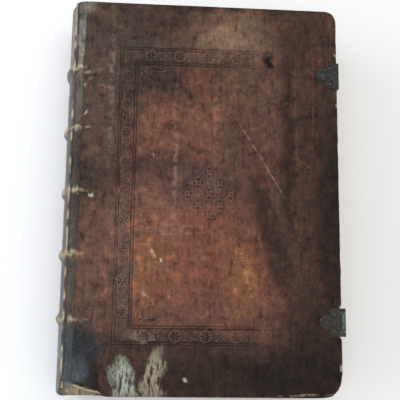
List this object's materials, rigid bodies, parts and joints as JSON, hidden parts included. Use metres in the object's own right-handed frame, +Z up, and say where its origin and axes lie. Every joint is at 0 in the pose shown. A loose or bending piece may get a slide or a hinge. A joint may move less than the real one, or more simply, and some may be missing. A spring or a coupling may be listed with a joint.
{
  "type": "antique leather book",
  "caption": "Old folio in blind-tooled brown calf over wooden boards, rounded back with raised bands, one metal clasp left, covers that open.",
  "frame": {"origin": "on the table, under the middle of the whole closed book", "axes": "+Z up through the front cover, +Y towards the head, +X towards the fore edge; the rounded back is at -X"},
  "size_m": [0.2342, 0.3224, 0.0627],
  "materials": {
    "calf_leather": "worn, polished by handling",
    "oak_board": "planed, darkened",
    "pastedown_paper": "matt, foxed",
    "rag_paper": "matt, cut edges",
    "hemp_cord": "twisted, matt",
    "oak_peg": "split, matt",
    "parchment": "semi-matt",
    "linen_thread": "matt",
    "corroded_brass": "corroded, matt",
    "nail_brass": "tarnished",
    "verdigris_brass": "satin with verdigris",
    "pin_brass": "rubbed",
    "tarnished_brass": "tarnished"
  },
  "bodies": {
    "back_cover": {"back_board": "oak_board", "back_cover_leather": "calf_leather", "back_pastedown": "pastedown_paper", "back_cord_slips": "hemp_cord", "back_slip_pegs": "oak_peg", "upper_catch_plate": "tarnished_brass", "lower_catch_plate": "tarnished_brass", "catch_plate_nails": "nail_brass"},
    "text_block": {"text_block": "rag_paper", "sewing_cords": "hemp_cord", "spine_linings": "parchment", "head_endband": "linen_thread", "tail_endband": "linen_thread", "spine_leather": "calf_leather"},
    "front_cover": {"front_board": "oak_board", "front_cover_leather": "calf_leather", "front_pastedown": "pastedown_paper", "front_cord_slips": "hemp_cord", "front_slip_pegs": "oak_peg", "upper_hinge_plate": "corroded_brass", "lower_hinge_plate": "tarnished_brass", "hinge_plate_nails": "nail_brass", "clasp_hinge_pin": "pin_brass"},
    "clasp": {"clasp_arm": "verdigris_brass"}
  },
  "joints": [
    {"name": "text_block_opening", "type": "hinge", "parent": "back_cover", "child": "text_block", "pos_m": [-0.10648, 0, 0.002], "axis": [0, 1, 0], "range_deg": [-90, 0]},
    {"name": "front_cover_opening", "type": "hinge", "parent": "text_block", "child": "front_cover", "pos_m": [-0.10648, 0, 0.0592], "axis": [0, -1, 0], "range_deg": [0, 165]},
    {"name": "clasp_swing", "type": "hinge", "parent": "front_cover", "child": "clasp", "pos_m": [0.11282, -0.1025, 0.06], "axis": [0, -1, 0], "range_deg": [0, 170]}
  ]
}
